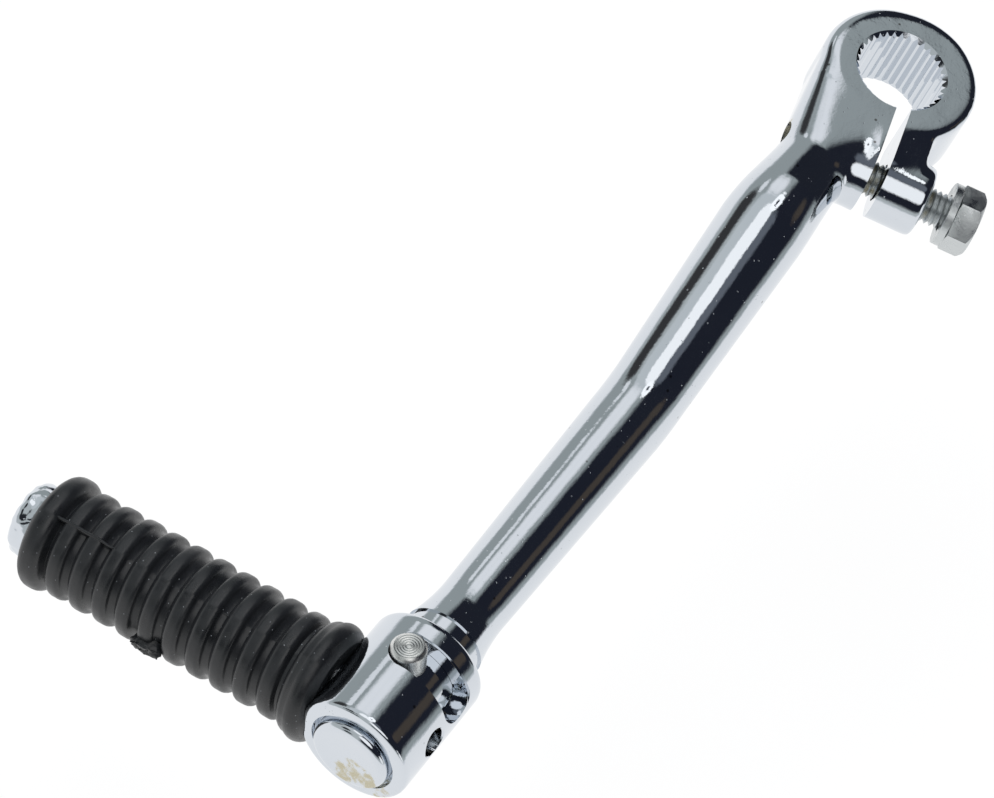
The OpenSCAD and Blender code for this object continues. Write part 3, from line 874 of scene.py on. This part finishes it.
# %% Pinch bolt
BOLT_GAP = 4.7
WASHER_T = 2
HEAD_SEAT = EAR_END + BOLT_GAP + WASHER_T
HEAD_H = 5.3
HALF_FLATS = 6.5
head = bmesh.new()
bmesh.ops.create_cone(head, cap_ends=True, segments=6, radius1=HALF_FLATS / math.cos(math.pi / 6) * MM,
                      radius2=HALF_FLATS / math.cos(math.pi / 6) * MM, depth=HEAD_H * MM,
                      matrix=Matrix.Translation((0, 0, (HEAD_SEAT + HEAD_H / 2) * MM))
                      @ Matrix.Rotation(math.radians(13), 4, "Z"))
bolt = piece_from("pinch_bolt_threaded", head)
HEAD_TOP = HEAD_SEAT + HEAD_H
turning = spun([(6.3, HEAD_TOP + 0.2), (7.72, HEAD_TOP - 1.15), (9.5, HEAD_TOP - 2.0),
                (9.5, HEAD_TOP + 2), (6.3, HEAD_TOP + 2), (6.3, HEAD_TOP + 0.2)], 96)
cut(bolt, turning)
under = spun([(6.45, HEAD_SEAT - 0.2), (7.7, HEAD_SEAT + 0.35), (9.5, HEAD_SEAT + 1.0),
              (9.5, HEAD_SEAT - 1), (6.45, HEAD_SEAT - 1), (6.45, HEAD_SEAT - 0.2)], 96)
cut(bolt, under)
edges = bmesh.new()
edges.from_mesh(bolt.data)
corners = [e for e in edges.edges if len(e.link_faces) == 2 and e.calc_face_angle(0) > math.radians(20)]
bmesh.ops.bevel(edges, geom=corners, offset=0.12 * MM, offset_type="OFFSET", affect="EDGES", segments=2,
                profile=0.5, material=-1, clamp_overlap=True)
PITCH = 1.25
THREAD = (HEAD_SEAT - 29.4, HEAD_SEAT - 0.6)
turns = int((THREAD[1] - THREAD[0] - PITCH) / PITCH)
tooth = bmesh.new()
points = [(3.2, 0.0), (3.27, 0.08), (3.86, 0.52), (3.93, 0.62), (3.86, 0.72), (3.27, 1.16),
          (3.2, 1.245), (3.0, 1.245), (3.0, 0.0)]
ring = [tooth.verts.new((r * MM, 0, (THREAD[0] + z) * MM)) for r, z in points]
face = tooth.faces.new(ring)
bmesh.ops.spin(tooth, geom=[face] + list(face.edges) + ring, cent=(0, 0, 0), axis=(0, 0, 1),
               dvec=(0, 0, PITCH / 48 * MM), angle=math.tau * turns, steps=48 * turns, use_merge=False,
               use_duplicate=False)
bmesh.ops.recalc_face_normals(tooth, faces=tooth.faces)
core = spun([(0, HEAD_SEAT - 30), (2.7, HEAD_SEAT - 30), (3.22, HEAD_SEAT - 29.4), (3.22, HEAD_SEAT - 0.9),
             (3.95, HEAD_SEAT - 0.4), (3.95, HEAD_SEAT + 0.5), (0, HEAD_SEAT + 0.5)], 48)
whole = joined(edges, tooth, core)
whole.to_mesh(bolt.data)
whole.free()
bolt.data.transform(bolt_axis)
dress(bolt, zinc, "zinc", "arm", "pinch_bolt", crisp=28)

# %% [markdown]
# The spring washer is one turn of square wire, cut through at a slant. Its
# ends are a little apart along the bolt. The outline is spun for 350 degrees
# while it climbs.

# %% Spring washer
washer = bmesh.new()
square = ((4.2, 0.12), (4.32, 0.0), (6.93, 0.0), (7.05, 0.12),
          (7.05, 1.62), (6.93, 1.74), (4.32, 1.74), (4.2, 1.62))
section = [washer.verts.new((r * MM, 0, (HEAD_SEAT - WASHER_T + z) * MM)) for r, z in square]
face = washer.faces.new(section)
bmesh.ops.spin(washer, geom=[face] + list(face.edges) + section, cent=(0, 0, 0), axis=(0, 0, 1),
               dvec=(0, 0, 0.22 / 96 * MM), angle=math.radians(350), steps=96, use_merge=False,
               use_duplicate=False)
bmesh.ops.recalc_face_normals(washer, faces=washer.faces)
moved(washer, Matrix.Rotation(math.radians(105), 4, "Z"))
lock_washer = piece_from("lock_washer", moved(washer, bolt_axis))
dress(lock_washer, zinc, "zinc", "arm", "spring_washer")

# %% [markdown]
# The stop pin is a short turned pin. A lathe tool left shallow rings on its
# end face, which show as fine circles of light.

# %% Stop pin
PIN_TOP = 13.6
face_rings = []
for i in range(5):
    r = 2.75 - i * 0.55
    face_rings += [(r, PIN_TOP - 0.07), (r - 0.27, PIN_TOP)]
pin = spun([(0, PIN_TOP - 17)] + [(3.7, PIN_TOP - 17), (3.7, PIN_TOP - 0.75), (3.62, PIN_TOP - 0.6),
           (3.1, PIN_TOP - 0.06), (3.0, PIN_TOP)] + face_rings + [(0, PIN_TOP - 0.02)], 96)
stop_pin = piece_from("stop_pin_turned", moved(pin, outwards(SLOT_X, PIN_ANGLE)))
dress(stop_pin, steel, "steel", "arm", "stop_pin", crisp=25)

# %% [markdown]
# The pedal's rubber is one moulding: a sleeve with ten round ribs and a
# larger bead at each end. The outline is spun about the pedal's axis. The
# mould's halves met on a line that left a thin seam, which bridges some of
# the grooves as flash, and a torn nub marks where the rubber ran in.

# %% Rubber
SLEEVE_R = 9.9
RIB_R = 11.6
RIB_HALF = 1.85
INNER_BEAD = 14.5
OUTER_BEAD = 77.35
ribs = [20.8 + 5.65 * i for i in range(10)]
outline = [(6.55, RUBBER[0]), (10.1, RUBBER[0]), (10.6, RUBBER[0] + 0.1), (11.6, RUBBER[0] + 1.0)]
outline += arc((12.95 - 2.6, INNER_BEAD - 0.6), 2.6, -50, 40, 8)
outline += arc((12.2 - 2.4, INNER_BEAD + 0.9), 2.6, 20, 80, 5)
for at in ribs:
    outline += [(SLEEVE_R + 0.35, at - RIB_HALF - 0.3), (SLEEVE_R + 0.75, at - RIB_HALF + 0.02)]
    outline += arc((RIB_R - 1.25, at - 0.6), 1.25, -70, 0, 4)
    outline += arc((RIB_R - 1.25, at + 0.6), 1.25, 0, 70, 4)
    outline += [(SLEEVE_R + 0.75, at + RIB_HALF - 0.02), (SLEEVE_R + 0.35, at + RIB_HALF + 0.3),
                (SLEEVE_R, at + RIB_HALF + 0.6)]
outline += [(SLEEVE_R, OUTER_BEAD - 3.1), (SLEEVE_R + 0.5, OUTER_BEAD - 2.7)]
outline += arc((12.4 - 2.2, OUTER_BEAD - 0.4), 2.2, -75, 0, 5)
outline += arc((12.4 - 2.2, OUTER_BEAD + 0.55), 2.2, 0, 85, 6)
outline += [(8.1, RUBBER[1]), (7.4, RUBBER[1] - 0.2), (6.55, RUBBER[1] - 0.2), (6.55, RUBBER[0])]
sleeve = spun(outline, 144)
SEAM = math.radians(71)
for vert in sleeve.verts:
    turn = math.atan2(vert.co.y, vert.co.x)
    away = math.hypot(vert.co.x, vert.co.y)
    if away < 9 * MM:
        continue
    for seam in (SEAM, SEAM - math.pi):
        gap = (turn - seam + math.pi) % math.tau - math.pi
        lift = 0.16 * math.exp(-(gap * away / (0.3 * MM)) ** 2)
        vert.co.xy *= 1 + lift * MM / away
    wobble = noise.noise(vert.co / (11 * MM)) * 0.12 + noise.noise(vert.co / (3.5 * MM)) * 0.03
    vert.co.xy *= 1 + (wobble - 0.06) * MM / away
pedal_rubber = piece_from("pedal_rubber_moulded", moved(sleeve, pedal_axis))
dress(pedal_rubber, rubber, "rubber", "pedal", "pedal_rubber", crisp=50)

# %% [markdown]
# The flash is four thin flaps between ribs, each with a torn outer edge, and
# a rope of rubber that squeezed out beside the outer bead. The nub is a short
# disc that smooth noise tears at its top, always the same way by its seed.

# %% Mould flash and the gate's nub
flash = []
for number, (at, tall) in enumerate(((ribs[9] + 2.9, 1.35), (ribs[8] + 2.8, 0.95), (ribs[7] + 2.8, 0.7),
                                     (ribs[2] + 2.8, 0.45))):
    flap = bmesh.new()
    bmesh.ops.create_grid(flap, x_segments=6, y_segments=6, size=1.0,
                          matrix=Matrix.Rotation(SEAM, 4, "Z")
                          @ Matrix.Translation(((SLEEVE_R - 0.3 + tall / 2) * MM, 0, at * MM))
                          @ Matrix.Rotation(math.pi / 2, 4, "X")
                          @ Matrix.Diagonal(((tall / 2 + 0.3) * MM, 1.5 * MM, 1, 1)))
    bmesh.ops.recalc_face_normals(flap, faces=flap.faces)
    bmesh.ops.solidify(flap, geom=flap.faces[:], thickness=0.28 * MM)
    for vert in flap.verts:
        away = math.hypot(vert.co.x, vert.co.y)
        if away > (SLEEVE_R + 0.3) * MM:
            vert.co.xy *= 1 + 0.35 * MM * noise.noise(vert.co / (0.9 * MM) + Vector((number, 0, 0))) / away
    flash.append(flap)
rope = bmesh.new()
bmesh.ops.create_uvsphere(rope, u_segments=20, v_segments=48, radius=1.0 * MM)
for vert in rope.verts:
    along = vert.co.z / MM
    vert.co = Vector((vert.co.x * 0.75, vert.co.y * 0.45, vert.co.z * 8.2))
    vert.co += Vector((0.25, 0.35, 0)) * MM * noise.noise(Vector((0, 0, along * 3.1)))
moved(rope, Matrix.Rotation(SEAM + math.radians(1), 4, "Z") @ Matrix.Translation((11.15 * MM, 0, 69.6 * MM))
      @ Matrix.Rotation(math.radians(-0.7), 4, "Y"))
flash.append(rope)
nub = spun([(0, -1.6), (1.9, -1.6), (2.0, 0.2), (1.75, 0.9), (1.1, 1.0), (0.7, 0.55), (0, 0.5)], 40)
long_edges = [edge for edge in nub.edges if edge.calc_length() > 0.35 * MM]
bmesh.ops.subdivide_edges(nub, edges=long_edges, cuts=1, use_grid_fill=True)
noise.seed_set(7)
for vert in nub.verts:
    rough = noise.noise_vector(vert.co / (0.55 * MM))
    vert.co += rough * (0.5 if vert.co.z > 0.1 * MM else 0.05) * MM
moved(nub, Matrix.Rotation(math.radians(-14), 4, "Z") @ Matrix.Translation((11.6 * MM, 0, 48.3 * MM))
      @ Matrix.Rotation(math.pi / 2, 4, "Y") @ Matrix.Diagonal((1.75, 0.95, 1.0, 1)))
flash.append(nub)
mould_marks = piece_from("mould_flash", moved(joined(*flash), pedal_axis))
dress(mould_marks, rubber, "rubber", "pedal", crisp=60)

# %% [markdown]
# The ball and spring of the click stop are hidden in the post. They keep the
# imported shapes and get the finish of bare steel.

# %% Ball and spring
for name in ("detent_ball", "detent_spring"):
    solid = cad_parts[name]
    solid.data.materials.clear()
    solid.data.materials.append(steel)
